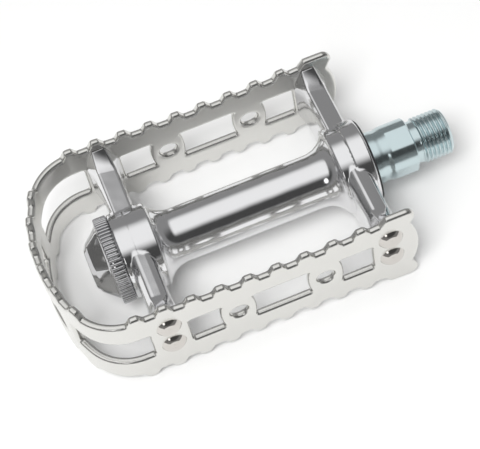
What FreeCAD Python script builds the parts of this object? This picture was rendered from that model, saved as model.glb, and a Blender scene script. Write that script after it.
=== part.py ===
"""Bicycle pedal: a one-piece serrated cage riveted to a cast body that turns on a cup-and-cone spindle.

Millimetres. The spindle lies along X and points at the crank (+X), Z is up, and the pedal lies flat on the
teeth of its cage. Sizes along X are measured from the middle of the cage; every piece is then placed so that
the origin is the start of the pedal thread, on the spindle's axis.
"""
import FreeCAD, Part
import os
import re

import Sketcher

# Driving dimensions

SIZES = [
    # main sizes
    ("arm_reach", 33.6, "middle of the cage to the arms and their rivets"),
    # the cage, one folded strip
    ("cage_width", 64.0, "over the outer faces of the two side plates"),
    ("plate_thick", 2.5, "thickness of the strip"),
    ("end_gap", 28.9, "arms to the outer end of the cage"),
    ("end_radius", 51.0, "bulge of the outer end, outer face"),
    ("corner_radius", 16.3, "bend at each outer corner, outer face"),
    ("lobe_gap", 8.6, "arms to the lobes at the crank end"),
    ("notch_depth", 2.4, "depth of the notches beside the middle lobe"),
    ("notch_height", 10.0, "height of the notches above the axis"),
    ("horn_radius", 2.8, "roundness of the horns above and below the notches"),
    ("tip_height", 16.6, "axis to the tooth tips at the rivets and round the end"),
    ("edge_sag", 1.85, "dip of the toothed edges in the middle of a side plate"),
    ("tooth_pitch", 8.42, "tooth to tooth"),
    ("tooth_height", 2.25, "root to tip"),
    ("tooth_tip", 1.6, "flat at the tip"),
    ("tooth_root", 2.6, "flat at the root"),
    # openings in the strip
    ("window_height", 11.2, "height of every window"),
    ("window_corner", 0.9, "corner radius of the bent windows"),
    ("window_near", 18.0, "middle of the cage to the near end of a plate window"),
    ("window_gap", 5.6, "arms to the far end of a plate window"),
    ("window_middle", 17.4, "length of the middle window"),
    ("window_bow", 20.0, "radius of the window ends that face a round hole"),
    ("hole_reach", 13.3, "middle of the cage to a round hole"),
    ("hole_diameter", 5.4, "round hole"),
    ("bend_window_gap", 6.0, "arms to the start of the corner windows"),
    ("bend_window_side", 18.0, "axis to the end of the corner windows on the outer end"),
    ("end_window", 25.2, "length of the window in the outer end"),
    # rivets
    ("rivet_spread", 9.2, "upper rivet to lower rivet"),
    ("rivet_lift", 2.2, "axis to the middle of a pair of rivets"),
    ("rivet_shank", 4.8, "shank diameter"),
    ("rivet_head", 7.5, "head diameter"),
    ("rivet_rise", 1.2, "head height"),
    ("rivet_dimple", 0.35, "depth of the dimple in the head"),
    ("rivet_bite", 4.5, "length of shank inside the arm"),
    ("rivet_play", 0.03, "gap round a rivet's shank"),
    # cast body
    ("barrel_radius", 8.3, "barrel between the bosses"),
    ("boss_radius", 13.0, "bearing bosses"),
    ("flange_radius", 13.6, "wider rim of the crank-side boss"),
    ("boss_edge", 0.7, "bevel on the rims of the bosses"),
    ("outer_boss", 3.8, "arms to the face under the dust cap"),
    ("inner_boss", 5.4, "arms to the face of the crank-side boss"),
    ("outer_tail", 6.2, "arms to the barrel end of the outer boss"),
    ("inner_tail", 4.6, "arms to the barrel end of the crank-side boss"),
    ("root_fillet", 6.5, "hollow between barrel and boss"),
    ("arm_height", 21.6, "height of an arm"),
    ("arm_flat", 3.6, "flat on top of an arm"),
    ("arm_width", 7.4, "width of an arm"),
    ("arm_bevel", 2.8, "height of an arm's bevel"),
    ("pad_width", 10.2, "foot of an arm against the cage"),
    ("pad_flat", 3.8, "flat on top of that foot"),
    ("pad_height", 28.0, "height of that foot"),
    ("pad_bevel", 7.4, "height of that foot's bevel"),
    ("flare_length", 6.5, "length over which an arm widens into its foot"),
    ("web_height", 8.0, "web in the corner between barrel and arm"),
    ("web_radius", 6.5, "hollow of that web"),
    ("body_bore", 14.4, "bore through the barrel"),
    # bearings
    ("ball_diameter", 3.969, "loose balls, 5/32 inch"),
    ("ball_circle", 16.6, "circle through the ball centres"),
    ("ball_count", 12, "balls in each bearing"),
    ("inner_ball_gap", 0.9, "arms to the crank-side balls, towards the crank"),
    ("outer_ball_gap", 2.1, "arms to the outer balls, towards the crank"),
    ("race_play", 0.05, "gap between a ball and its races"),
    ("cup_radius", 11.2, "outside of the bearing cups"),
    ("cup_back", 2.9, "ball centre to the back of a cup"),
    ("cup_lip", 1.2, "ball centre to the rim of a cup"),
    ("cup_hole", 14.4, "hole through a cup"),
    ("press_play", 0.01, "gap left in a press fit or a threaded fit"),
    ("seal_thick", 1.2, "rubber seal on the crank-side boss"),
    ("seal_proud", 0.6, "part of the seal that stands out of the boss"),
    ("seal_play", 0.1, "gap between the seal and the spindle"),
    # spindle
    ("seat_gap", 19.7, "arms to the crank seat"),
    ("thread_length", 11.6, "seat to the end of the pedal thread"),
    ("thread_diameter", 14.288, "pedal thread, 9/16 inch"),
    ("neck_diameter", 13.0, "relief behind the thread"),
    ("neck_length", 2.0, "length of that relief"),
    ("collar_diameter", 16.6, "spindle outside the boss"),
    ("flat_across", 14.4, "across the spanner flats"),
    ("flat_length", 7.3, "length of the spanner flats"),
    ("flat_turn", 8.0, "lean of the upper spanner flat to the front, degrees"),
    ("race_diameter", 15.2, "raised race on the spindle and on the cone"),
    ("race_step", 0.2, "ball centre to the step that carries a race"),
    ("race_length", 2.7, "length of the spindle's raised race"),
    ("shaft_diameter", 12.0, "spindle beside the crank-side race"),
    ("tail_diameter", 10.0, "spindle beside the outer bearing"),
    ("end_thread", 7.94, "thread for cone and nut, 5/16 inch"),
    ("shoulder_gap", 5.6, "arms to the shoulder of that thread, towards the crank"),
    ("cone_length", 4.6, "outer cone"),
    ("washer_thick", 1.0, "lock washer"),
    ("washer_diameter", 13.0, "lock washer"),
    ("key_width", 1.6, "groove along the end thread for the washer's tab"),
    ("key_depth", 0.9, "depth of that groove"),
    ("nut_across", 11.0, "lock nut across flats"),
    ("nut_thick", 4.0, "lock nut"),
    ("thread_tail", 1.2, "end thread that stands out of the nut"),
    ("end_bevel", 0.9, "bevel on the spindle's ends"),
    # dust cap
    ("cap_ring", 26.6, "knurled ring"),
    ("cap_ring_length", 4.2, "length of that ring"),
    ("cap_spigot", 2.5, "length of the spigot inside the boss"),
    ("cap_hole", 18.6, "hollow of the cap at the spigot"),
    ("cap_hex_base", 21.6, "hexagon at the ring, across flats"),
    ("cap_hex_end", 12.4, "hexagon at the end, across flats"),
    ("cap_hex_length", 6.9, "length of the hexagon"),
    ("cap_hex_turn", 18.0, "lean of the hexagon's top corner to the rear, degrees"),
    ("cap_wall", 2.4, "end wall of the cap"),
    ("cap_round", 1.3, "rounding of the cap's end"),
]
ALIASES = {alias for alias, _, _ in SIZES}

# Places along X, as distances from the middle of the cage
PLACES = {
    "end_reach": "arm_reach + end_gap",
    "lobe_reach": "arm_reach + lobe_gap",
    "window_far": "arm_reach - window_gap",
    "bend_window_reach": "arm_reach + bend_window_gap",
    "outer_face": "arm_reach + outer_boss",
    "inner_face": "arm_reach + inner_boss",
    "outer_back": "arm_reach - outer_tail",
    "inner_back": "arm_reach - inner_tail",
    "inner_balls": "arm_reach + inner_ball_gap",
    "outer_balls": "arm_reach - outer_ball_gap",
    "seat_reach": "arm_reach + seat_gap",
    "thread_start": "arm_reach + seat_gap + neck_length",
    "end_thread_start": "arm_reach - shoulder_gap",
}

doc = FreeCAD.newDocument("BicyclePedal")
sheet = doc.addObject("Spreadsheet::Sheet", "Sizes")
for row, (alias, number, note) in enumerate(SIZES, start=1):
    sheet.set(f"A{row}", note)
    sheet.set(f"B{row}", str(number))
    sheet.setAlias(f"B{row}", alias)
doc.recompute()


# Helpers for expressions, sketches and features

def spelled(expression):
    """The expression with each place along X written out in sizes."""
    return re.sub(r"[a-z_]+", lambda m: f"({PLACES[m[0]]})" if m[0] in PLACES else m[0], str(expression))


def bound(expression):
    """The expression with each size written as a cell of the sheet."""
    return re.sub(r"[a-z_]+", lambda m: f"Sizes.{m[0]}" if m[0] in ALIASES else m[0], spelled(expression))


def value(expression):
    """The number that an expression gives now."""
    return float(sheet.evalExpression(spelled(expression)))


def new_body(label):
    """An empty body, placed so that the origin is the start of the pedal thread."""
    body = doc.addObject("PartDesign::Body", label)
    body.Label = label
    body.setExpression("Placement.Base.x", bound("-thread_start"))
    return body


def origin_plane(body, role):
    return next(feature for feature in body.Origin.OriginFeatures if feature.Role == role)


def new_sketch(body, name, role, offset=None):
    """A sketch on one of the body's own planes, moved along the plane's normal by offset."""
    sketch = body.newObject("Sketcher::SketchObject", f"{body.Label}_{name}")
    sketch.AttachmentSupport = [(origin_plane(body, role), "")]
    sketch.MapMode = "FlatFace"
    if offset is not None:
        sketch.setExpression("AttachmentOffset.Base.z", bound(offset))
    return sketch


def tie(sketch, kind, geometry, point, expression):
    """Fix one coordinate of a point to an expression."""
    index = sketch.addConstraint(Sketcher.Constraint(kind, -1, 1, geometry, point, value(expression)))
    sketch.setExpression(f"Constraints[{index}]", bound(expression))


def arc_through(start, end, radius, turn):
    """The shorter arc from start to end; turn is 1 for counter-clockwise and -1 for clockwise."""
    chord = end - start
    middle = (start + end) * 0.5
    rise = max(radius ** 2 - (chord.Length / 2) ** 2, 0.0) ** 0.5
    side = FreeCAD.Vector(-chord.y, chord.x, 0).normalize() * turn
    centre = middle + side * rise
    circle = Part.Circle(centre, FreeCAD.Vector(0, 0, 1), radius)
    first, last = (start, end) if turn > 0 else (end, start)
    return Part.ArcOfCircle(circle, circle.parameter(first), circle.parameter(last))


def outline(sketch, corners):
    """A closed outline. A corner is (x, y), or (x, y, radius, turn) where an arc leads to the next one."""
    places = [FreeCAD.Vector(value(c[0]), value(c[1]), 0) for c in corners]
    edges = []
    for here, corner in enumerate(corners):
        start, end = places[here], places[(here + 1) % len(corners)]
        if len(corner) == 2:
            edges.append((sketch.addGeometry(Part.LineSegment(start, end)), 1, 2))
        else:
            shape = arc_through(start, end, value(corner[2]), corner[3])
            ends = (1, 2) if corner[3] > 0 else (2, 1)
            edges.append((sketch.addGeometry(shape), *ends))
    for here, (edge, _, last) in enumerate(edges):
        following, first, _ = edges[(here + 1) % len(edges)]
        sketch.addConstraint(Sketcher.Constraint("Coincident", edge, last, following, first))
    for (edge, first, _), corner in zip(edges, corners):
        tie(sketch, "DistanceX", edge, first, corner[0])
        tie(sketch, "DistanceY", edge, first, corner[1])
        if len(corner) == 4:
            index = sketch.addConstraint(Sketcher.Constraint("Radius", edge, value(corner[2])))
            sketch.setExpression(f"Constraints[{index}]", bound(corner[2]))
    return sketch


def circle(sketch, x, y, diameter):
    """A circle with its centre and diameter tied to expressions."""
    shape = Part.Circle(FreeCAD.Vector(value(x), value(y), 0), FreeCAD.Vector(0, 0, 1), value(diameter) / 2)
    edge = sketch.addGeometry(shape)
    tie(sketch, "DistanceX", edge, 3, x)
    tie(sketch, "DistanceY", edge, 3, y)
    index = sketch.addConstraint(Sketcher.Constraint("Diameter", edge, value(diameter)))
    sketch.setExpression(f"Constraints[{index}]", bound(diameter))


def feature(body, kind, sketch, name):
    item = body.newObject(f"PartDesign::{kind}", f"{body.Label}_{name}")
    item.Profile = sketch
    return item


def turned(body, name, corners, kind="Revolution", axis="H_Axis"):
    """Turn an outline of the XY plane, as x and radius, about an axis of its sketch."""
    sketch = outline(new_sketch(body, f"{name}_profile", "XY_Plane"), corners)
    item = feature(body, kind, sketch, name)
    item.ReferenceAxis = (sketch, [axis])
    doc.recompute()
    return item


def race_groove(body, name, place):
    """Cut the round track in which the balls run, wider than a ball by the running gap."""
    sketch = new_sketch(body, f"{name}_profile", "XY_Plane")
    circle(sketch, place, "ball_circle / 2", "ball_diameter + 2 * race_play")
    item = feature(body, "Groove", sketch, name)
    item.ReferenceAxis = (sketch, ["H_Axis"])
    doc.recompute()
    return item


def both_ways(body, kind, sketch, name, length):
    """A pad or a pocket that reaches half its length to each side of its sketch."""
    item = feature(body, kind, sketch, name)
    item.SideType = "Symmetric"
    item.setExpression("Length", bound(length))
    doc.recompute()
    return item


def one_way(body, kind, sketch, name, length, turn_round=False):
    """A pad or a pocket to one side of its sketch."""
    item = feature(body, kind, sketch, name)
    item.Reversed = turn_round
    item.setExpression("Length", bound(length))
    doc.recompute()
    return item


def mirrored(body, original, role, name):
    """Repeat a feature on the other side of one of the body's planes."""
    item = body.newObject("PartDesign::Mirrored", f"{body.Label}_{name}")
    item.Originals = [original]
    item.MirrorPlane = (origin_plane(body, role), [""])
    body.Tip = item
    doc.recompute()
    return item


def rounded(body, base, edges, radius, name):
    """Fillet the named edges of a feature."""
    item = body.newObject("PartDesign::Fillet", f"{body.Label}_{name}")
    item.Base = (base, edges)
    item.setExpression("Radius", bound(radius))
    doc.recompute()
    return item


def box_corners(x_low, x_high, y_low, y_high):
    return [(x_low, y_low), (x_high, y_low), (x_high, y_high), (x_low, y_high)]


# Cage

END_CENTRE = "(end_radius - end_reach)"
CORNER_CENTRE_Y = "(cage_width / 2 - corner_radius)"
CORNER_SPAN = "(end_radius - corner_radius)"
CORNER_CENTRE_X = f"({END_CENTRE} - sqrt({CORNER_SPAN} ^ 2 - {CORNER_CENTRE_Y} ^ 2))"
EDGE_SPARE = "plate_thick"
FLANK = "((tooth_pitch - tooth_tip - tooth_root) / 2)"
ROOT_HEIGHT = "(tip_height - tooth_height)"


def strip_side(inset, sign):
    """Where the strip's face leaves a side plate and where it joins the end; inset is its depth in the strip."""
    straight = (CORNER_CENTRE_X, f"{sign} * (cage_width / 2 - {inset})")
    reach = f"(end_radius - {inset}) / {CORNER_SPAN}"
    bend_end = (f"{END_CENTRE} + ({CORNER_CENTRE_X} - {END_CENTRE}) * {reach}", f"{sign} * {CORNER_CENTRE_Y} * {reach}")
    return straight, bend_end


def strip_outline():
    """The strip seen from above: round the outer face and back along the inner one."""
    corners = []
    for inset, sign, turn in (("0", -1, -1), ("plate_thick", 1, 1)):
        bend, bulge = f"corner_radius - {inset}", f"end_radius - {inset}"
        straight, bend_end = strip_side(inset, sign)
        far_straight, far_bend_end = strip_side(inset, -sign)
        corners += [
            ("lobe_reach", f"{sign} * (cage_width / 2 - {inset})"),
            (*straight, bend, turn),
            (*bend_end, bulge, turn),
            (*far_bend_end, bend, turn),
            far_straight,
            ("lobe_reach", f"{-sign} * (cage_width / 2 - {inset})"),
        ]
    return corners


def plate_tip(place):
    """Height of a tooth tip: the edge dips between the rivets and is level beyond them."""
    if abs(value(place)) >= value("arm_reach") - value("tooth_pitch") / 2:
        return "tip_height"
    return f"tip_height - edge_sag * (1 - ({place} / arm_reach) ^ 2)"


def tooth(centre, tip):
    """The four corners of one tooth, from low to high along the edge."""
    root = f"{tip} - tooth_height"
    return [
        (f"{centre} - tooth_tip / 2 - {FLANK}", root),
        (f"{centre} - tooth_tip / 2", tip),
        (f"{centre} + tooth_tip / 2", tip),
        (f"{centre} + tooth_tip / 2 + {FLANK}", root),
    ]


TEETH_OUTWARD = 5
TEETH_CRANKWARD = 3
END_TEETH = 6


def plate_edge():
    """What is cut off the top edge of the side plates."""
    bend_start = f"(-{TEETH_OUTWARD} * tooth_pitch - tooth_pitch / 2)"
    corners = [(bend_start, f"tip_height + {EDGE_SPARE}"), (bend_start, ROOT_HEIGHT)]
    for count in range(-TEETH_OUTWARD, TEETH_CRANKWARD + 1):
        centre = f"({count} * tooth_pitch)"
        corners += tooth(centre, plate_tip(centre))
    horn = f"({TEETH_CRANKWARD + 1} * tooth_pitch - tooth_tip / 2)"
    corners += [(f"{horn} - {FLANK}", ROOT_HEIGHT), (horn, "tip_height"), (horn, f"tip_height + {EDGE_SPARE}")]
    return corners


def end_edge():
    """What is cut off the top edge of the outer end and its corners."""
    side = f"(cage_width / 2 + {EDGE_SPARE})"
    corners = [(f"-{side}", f"tip_height + {EDGE_SPARE}"), (f"-{side}", ROOT_HEIGHT)]
    for count in range(END_TEETH):
        corners += tooth(f"({count - (END_TEETH - 1) / 2} * tooth_pitch)", "tip_height")
    return corners + [(side, ROOT_HEIGHT), (side, f"tip_height + {EDGE_SPARE}")]


def crank_end():
    """What is cut off the crank end of the side plates: horns above and below a round middle lobe."""
    past = f"(lobe_reach + {EDGE_SPARE})"
    notch = "(lobe_reach - notch_depth)"
    lobe_radius = "(notch_height ^ 2 + notch_depth ^ 2) / (2 * notch_depth)"
    horn_side = "(lobe_reach - notch_depth / 4)"
    horn_top = "(lobe_reach - notch_depth / 4 - horn_radius)"
    over = f"(tip_height + {EDGE_SPARE})"
    return [
        (past, f"-{over}"),
        (past, over),
        (horn_top, over),
        (horn_top, "tip_height", "horn_radius", -1),
        (horn_side, "tip_height - horn_radius"),
        (notch, "notch_height", lobe_radius, -1),
        (notch, "-notch_height"),
        (horn_side, "horn_radius - tip_height", "horn_radius", -1),
        (horn_top, "-tip_height"),
        (horn_top, f"-{over}"),
    ]


def window_corner_edges(shape):
    """Names of the edges that cross the strip at the corners of the bent windows."""
    level, start = value("window_height / 2"), -value("bend_window_reach")
    sides = (value("bend_window_side"), value("end_window / 2"))

    def crosses(points):
        at_start = all(abs(p.x - start) < 1e-4 for p in points)
        at_side = any(all(abs(abs(p.y) - side) < 1e-4 and p.x < start for p in points) for side in sides)
        return at_start or at_side

    names = []
    for index, edge in enumerate(shape.Edges, start=1):
        points = [vertex.Point for vertex in edge.Vertexes]
        level_ends = all(abs(abs(p.z) - level) < 1e-4 for p in points) and points[0].z * points[-1].z > 0
        if len(points) == 2 and level_ends and crosses(points):
            names.append(f"Edge{index}")
    return names


def make_cage():
    body = new_body("cage")
    plan = outline(new_sketch(body, "plan", "XY_Plane"), strip_outline())
    both_ways(body, "Pad", plan, "strip", "2 * tip_height")

    teeth = outline(new_sketch(body, "plate_edge", "XZ_Plane"), plate_edge())
    cut = both_ways(body, "Pocket", teeth, "plate_teeth", "2 * cage_width")
    mirrored(body, cut, "XY_Plane", "plate_teeth_below")

    teeth = outline(new_sketch(body, "end_edge", "YZ_Plane", f"-({TEETH_OUTWARD} + 0.5) * tooth_pitch"), end_edge())
    cut = one_way(body, "Pocket", teeth, "end_teeth", "end_reach")
    mirrored(body, cut, "XY_Plane", "end_teeth_below")

    ends = outline(new_sketch(body, "crank_end", "XZ_Plane"), crank_end())
    both_ways(body, "Pocket", ends, "horns", "2 * cage_width")

    low, high = "-window_height / 2", "window_height / 2"
    windows = new_sketch(body, "plate_windows", "XZ_Plane")
    outline(windows, [
        ("-window_middle / 2", low), ("window_middle / 2", low, "window_bow", -1),
        ("window_middle / 2", high), ("-window_middle / 2", high, "window_bow", -1)])
    for sign, turn in ((1, -1), (-1, 1)):
        near, far = f"{sign} * window_near", f"{sign} * window_far"
        outline(windows, [(near, high, "window_bow", turn), (near, low), (far, low), (far, high)])
        circle(windows, f"{sign} * hole_reach", "0", "hole_diameter")
        for level in (1, -1):
            height = f"rivet_lift + {level} * rivet_spread / 2"
            circle(windows, f"{sign} * arm_reach", height, "rivet_shank + 2 * rivet_play")
    both_ways(body, "Pocket", windows, "plate_openings", "2 * cage_width")

    bends = new_sketch(body, "bend_windows", "XY_Plane")
    for sign in (1, -1):
        start, side = "-bend_window_reach", f"{sign} * bend_window_side"
        past = f"{sign} * (cage_width / 2 + {EDGE_SPARE})"
        inside = f"{sign} * (cage_width / 2 - 2 * plate_thick)"
        outline(bends, [
            (start, past), (start, inside), (f"{END_CENTRE} - end_radius / 2", side),
            (f"-end_reach - {EDGE_SPARE}", side), (f"-end_reach - {EDGE_SPARE}", past)])
    outline(bends, box_corners(f"-end_reach - {EDGE_SPARE}", f"{END_CENTRE} - end_radius / 2",
                               "-end_window / 2", "end_window / 2"))
    cut = both_ways(body, "Pocket", bends, "bend_openings", "window_height")
    rounded(body, cut, window_corner_edges(cut.Shape), "window_corner", "window_corners")
    return body


# Rivets

def make_rivet(label, sign_x, sign_y, sign_z):
    """A rivet through a side plate into the foot of an arm; its round-edged head is outside."""
    body = doc.addObject("PartDesign::Body", label)
    body.Label = label
    turned(body, "rivet", [
        ("0", "rivet_dimple - rivet_rise"),
        ("rivet_head / 8", "-rivet_rise"),
        ("rivet_head / 2 - rivet_rise", "-rivet_rise", "rivet_rise", 1),
        ("rivet_head / 2", "0"),
        ("rivet_shank / 2", "0"),
        ("rivet_shank / 2", "plate_thick + rivet_bite"),
        ("0", "plate_thick + rivet_bite"),
    ], axis="V_Axis")
    body.setExpression("Placement.Base.x", bound(f"{sign_x} * arm_reach - thread_start"))
    body.setExpression("Placement.Base.y", bound(f"{sign_y} * cage_width / 2"))
    body.setExpression("Placement.Base.z", bound(f"rivet_lift + {sign_z} * rivet_spread / 2"))
    if sign_y > 0:
        body.Placement.Rotation = FreeCAD.Rotation(FreeCAD.Vector(0, 0, 1), 180)
    return body


def make_rivets():
    for side, sign_y in (("front", -1), ("rear", 1)):
        for end, sign_x in (("outer", -1), ("inner", 1)):
            for level, sign_z in (("upper", 1), ("lower", -1)):
                make_rivet(f"rivet_{side}_{end}_{level}", sign_x, sign_y, sign_z)


# Cast body

OUTER_CUP_SEAT = "(cup_back - outer_balls)"
INNER_CUP_SEAT = "(inner_balls - cup_back)"
BOSS_RIM = "(boss_radius - boss_edge)"
ROOT_RISE = f"({BOSS_RIM} - barrel_radius)"
ROOT_LENGTH = f"sqrt(2 * root_fillet * {ROOT_RISE} - {ROOT_RISE} ^ 2)"


def arm_section(middle, width, flat, height, bevel):
    """An upright eight-sided section: a flat top and bottom with a bevel on each corner."""
    half, top = f"{width} / 2", f"{height} / 2"
    return [
        (f"{middle} - {flat} / 2", f"-{top}"), (f"{middle} + {flat} / 2", f"-{top}"),
        (f"{middle} + {half}", f"{bevel} - {top}"), (f"{middle} + {half}", f"{top} - {bevel}"),
        (f"{middle} + {flat} / 2", top), (f"{middle} - {flat} / 2", top),
        (f"{middle} - {half}", f"{top} - {bevel}"), (f"{middle} - {half}", f"{bevel} - {top}"),
    ]


def web_corner(sign_x, sign_y):
    """The hollow-edged web between the barrel and one arm."""
    arm_side = "(arm_reach - arm_width / 2)"
    start = f"{sign_y} * (barrel_radius - boss_edge)"
    tip = f"{sign_y} * (barrel_radius - boss_edge + web_radius)"
    turn = sign_x * sign_y
    corners = [
        (f"{sign_x} * ({arm_side} - web_radius)", start),
        (f"{sign_x} * {arm_side}", start),
        (f"{sign_x} * {arm_side}", tip, "web_radius", -turn),
    ]
    return corners


def make_body():
    body = new_body("pedal_body")
    turned(body, "barrel", [
        ("-outer_face", "0"), ("-outer_face", BOSS_RIM), ("boss_edge - outer_face", "boss_radius"),
        ("-outer_back - boss_edge", "boss_radius"), ("-outer_back", BOSS_RIM, "root_fillet", 1),
        (f"{ROOT_LENGTH} - outer_back", "barrel_radius"),
        (f"inner_back - {ROOT_LENGTH}", "barrel_radius", "root_fillet", 1), ("inner_back", BOSS_RIM),
        ("inner_back + boss_edge", "boss_radius"), ("arm_reach", "boss_radius"),
        ("arm_reach", "flange_radius"), ("inner_face - boss_edge", "flange_radius"),
        ("inner_face", "flange_radius - boss_edge"), ("inner_face", "0"),
    ])

    section = new_sketch(body, "arm_section", "XZ_Plane")
    for sign in (1, -1):
        outline(section, arm_section(f"{sign} * arm_reach", "arm_width", "arm_flat", "arm_height", "arm_bevel"))
    both_ways(body, "Pad", section, "arms", "cage_width - 2 * plate_thick")

    webs = new_sketch(body, "web_plan", "XY_Plane")
    for sign_x in (1, -1):
        for sign_y in (1, -1):
            outline(webs, web_corner(sign_x, sign_y))
    both_ways(body, "Pad", webs, "webs", "web_height")

    foot_face = "cage_width / 2 - plate_thick"
    for end, sign in (("inner", 1), ("outer", -1)):
        start = outline(
            new_sketch(body, f"{end}_flare_start", "XZ_Plane", f"{foot_face} - flare_length"),
            arm_section(f"{sign} * arm_reach", "arm_width", "arm_flat", "arm_height", "arm_bevel"))
        foot = outline(
            new_sketch(body, f"{end}_foot", "XZ_Plane", foot_face),
            arm_section(f"{sign} * arm_reach", "pad_width", "pad_flat", "pad_height", "pad_bevel"))
        flare = feature(body, "AdditiveLoft", start, f"{end}_flare")
        flare.Sections = [foot]
        flare.Ruled = True
        doc.recompute()
        mirrored(body, flare, "XZ_Plane", f"{end}_flare_rear")

    cup, bore, past = "cup_radius + press_play", "body_bore / 2", "plate_thick"
    seal_floor = "inner_face + seal_proud - seal_thick"
    turned(body, "bores", [
        (f"-outer_face - {past}", "0"), (f"-outer_face - {past}", cup), (OUTER_CUP_SEAT, cup),
        (OUTER_CUP_SEAT, bore), (INNER_CUP_SEAT, bore), (INNER_CUP_SEAT, cup), (seal_floor, cup),
        (seal_floor, "flange_radius - boss_edge - press_play"),
        (f"inner_face + {past}", "flange_radius - boss_edge - press_play"), (f"inner_face + {past}", "0"),
    ], kind="Groove")

    holes = new_sketch(body, "rivet_holes_plan", "XZ_Plane", foot_face)
    for sign in (1, -1):
        for level in (1, -1):
            height = f"rivet_lift + {level} * rivet_spread / 2"
            circle(holes, f"{sign} * arm_reach", height, "rivet_shank + 2 * rivet_play")
    before = body.Shape.Volume
    cut = one_way(body, "Pocket", holes, "rivet_holes", "rivet_bite + press_play")
    mirrored(body, cut, "XZ_Plane", "rivet_holes_rear")
    if body.Shape.Volume >= before:
        raise RuntimeError("the rivet holes cut nothing from the body")
    return body


# Bearings

def make_cup(label, balls, facing):
    """A pressed-in cup. Its open side faces the end of the pedal: facing is 1 for the crank side."""
    body = new_body(label)
    back, rim = f"{balls} - {facing} * cup_back", f"{balls} + {facing} * cup_lip"
    turned(body, "ring", box_corners(back, rim, "cup_hole / 2", "cup_radius"))
    race_groove(body, "race", balls)
    return body


def make_balls(label, balls):
    """A ring of loose balls: one node of separate solids."""
    spheres = []
    count = int(value("ball_count"))
    for number in range(count):
        sphere = doc.addObject("Part::Sphere", f"{label}_{number + 1}")
        sphere.setExpression("Radius", bound("ball_diameter / 2"))
        angle = f"({number} * 360 deg / ball_count)"
        sphere.setExpression("Placement.Base.x", bound(f"{balls} - thread_start"))
        sphere.setExpression("Placement.Base.y", bound(f"ball_circle / 2 * cos{angle}"))
        sphere.setExpression("Placement.Base.z", bound(f"ball_circle / 2 * sin{angle}"))
        spheres.append(sphere)
    ring = doc.addObject("Part::Compound", label)
    ring.Label = label
    ring.Links = spheres
    doc.recompute()
    return ring


def make_seal():
    body = new_body("inner_seal")
    turned(body, "ring", box_corners(
        "inner_face + seal_proud - seal_thick", "inner_face + seal_proud",
        "collar_diameter / 2 + seal_play", "flange_radius - boss_edge - 2 * press_play"))
    return body


# Spindle and what is screwed on it

CONE_FACE = "(-outer_balls - race_step)"
CONE_BACK = f"({CONE_FACE} - cone_length)"
WASHER_BACK = f"({CONE_BACK} - washer_thick)"
NUT_BACK = f"({WASHER_BACK} - nut_thick)"
SPINDLE_TAIL = f"({NUT_BACK} - thread_tail)"


def make_spindle():
    body = new_body("spindle")
    step = "(inner_balls + race_step)"
    race_end = f"({step} + race_length)"
    thread_end = "(seat_reach + thread_length)"
    turned(body, "shaft", [
        (SPINDLE_TAIL, "0"), (SPINDLE_TAIL, "end_thread / 2 - end_bevel"),
        (f"{SPINDLE_TAIL} + end_bevel", "end_thread / 2"), ("-end_thread_start", "end_thread / 2"),
        ("-end_thread_start", "tail_diameter / 2"), (step, "shaft_diameter / 2"),
        (step, "race_diameter / 2"), (race_end, "race_diameter / 2"), (race_end, "collar_diameter / 2"),
        ("seat_reach", "collar_diameter / 2"), ("seat_reach", "neck_diameter / 2"),
        ("thread_start", "neck_diameter / 2"), ("thread_start", "thread_diameter / 2"),
        (f"{thread_end} - end_bevel", "thread_diameter / 2"), (thread_end, "thread_diameter / 2 - end_bevel"),
        (thread_end, "0"),
    ])
    race_groove(body, "race", "inner_balls")

    near, far = "flat_across / 2", "collar_diameter"
    before = body.Shape.Volume
    for name, lean in (("flats", "flat_turn"), ("cross_flats", "flat_turn + 90")):
        plan = new_sketch(body, f"{name}_plan", "YZ_Plane", "seat_reach")
        plan.setExpression("AttachmentOffset.Rotation.Angle", bound(f"({lean}) * 1 deg"))
        for sign in (1, -1):
            outline(plan, box_corners(f"{sign} * {near}", f"{sign} * {far}", f"-{far}", far))
        one_way(body, "Pocket", plan, name, "flat_length")
    if body.Shape.Volume >= before:
        raise RuntimeError("the spanner flats cut nothing from the spindle")

    key = outline(new_sketch(body, "keyway_plan", "YZ_Plane", SPINDLE_TAIL), box_corners(
        "-key_width / 2", "key_width / 2", "end_thread / 2 - key_depth", "end_thread"))
    one_way(body, "Pocket", key, "keyway", f"-end_thread_start - {SPINDLE_TAIL}", turn_round=True)
    return body


def make_cone():
    body = new_body("outer_cone")
    turned(body, "ring", box_corners(CONE_BACK, CONE_FACE, "end_thread / 2 + press_play", "race_diameter / 2"))
    race_groove(body, "race", "-outer_balls")
    return body


def make_washer():
    """A flat washer with a tab that slides in the spindle's groove."""
    body = new_body("lock_washer")
    turned(body, "ring", box_corners(WASHER_BACK, CONE_BACK, "end_thread / 2 + press_play", "washer_diameter / 2"))
    tab = outline(new_sketch(body, "tab_plan", "YZ_Plane", WASHER_BACK), box_corners(
        "press_play - key_width / 2", "key_width / 2 - press_play",
        "end_thread / 2 - key_depth + press_play", "end_thread / 2 + washer_diameter / 10"))
    one_way(body, "Pad", tab, "tab", "washer_thick")
    return body


def hexagon(across, turn="0"):
    """The six corners of a hexagon about the axis, as y and z; turn leans its top corner, in degrees."""
    radius = f"{across} / sqrt(3)"
    return [(f"{radius} * cos(({turn} + {60 * k + 90}) * 1 deg)", f"{radius} * sin(({turn} + {60 * k + 90}) * 1 deg)")
            for k in range(6)]


def make_nut():
    body = new_body("lock_nut")
    plan = outline(new_sketch(body, "plan", "YZ_Plane", NUT_BACK), hexagon("nut_across"))
    circle(plan, "0", "0", "end_thread + 2 * press_play")
    one_way(body, "Pad", plan, "hexagon", "nut_thick")
    return body


# Dust cap

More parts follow.
